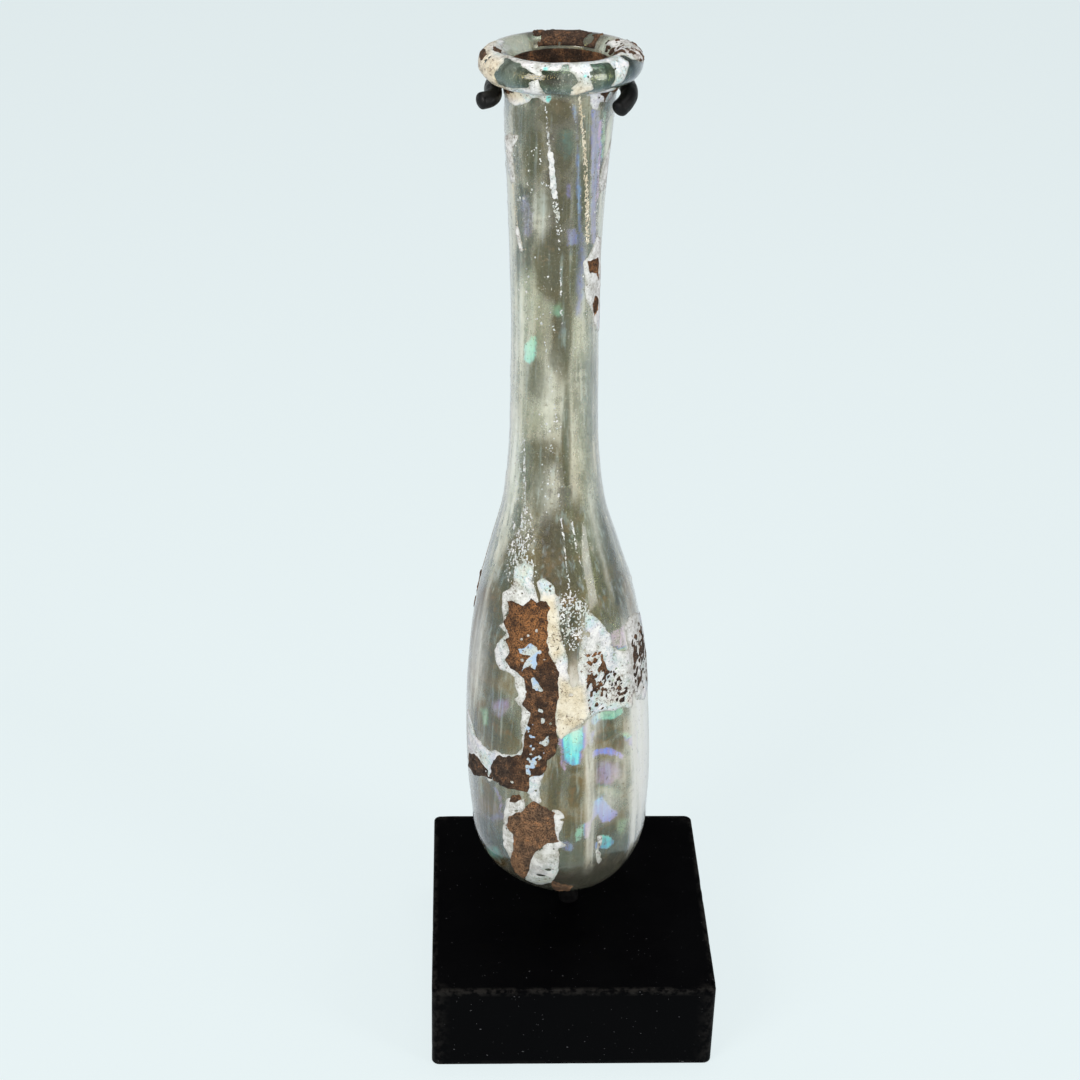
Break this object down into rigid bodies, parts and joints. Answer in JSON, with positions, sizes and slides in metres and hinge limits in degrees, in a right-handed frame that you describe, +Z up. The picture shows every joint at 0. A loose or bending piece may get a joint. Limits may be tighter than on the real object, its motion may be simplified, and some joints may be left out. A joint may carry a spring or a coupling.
{
  "type": "roman glass unguentarium",
  "caption": "Tall-necked ancient glass ointment flask with a folded rim, held upright over a square base by a rod and a bent wire cradle.",
  "frame": {"origin": "centre of the base's underside, on the surface it stands on", "axes": "+Z up, -Y towards the front of the stand, +Y towards the rod at the back, +X to the right"},
  "size_m": [0.0508, 0.0508, 0.1784],
  "materials": {
    "weathered_glass": "greenish blown glass, hazed, with soil and iridescent weathering",
    "black_steel": "satin black paint on steel wire",
    "black_lacquer": "semi-gloss black lacquer with worn edges and dust"
  },
  "bodies": {
    "root": {"flask": "weathered_glass", "neck_cradle": "black_steel", "support_rod": "black_steel", "rest_pin": "black_steel", "base": "black_lacquer"}
  },
  "joints": []
}
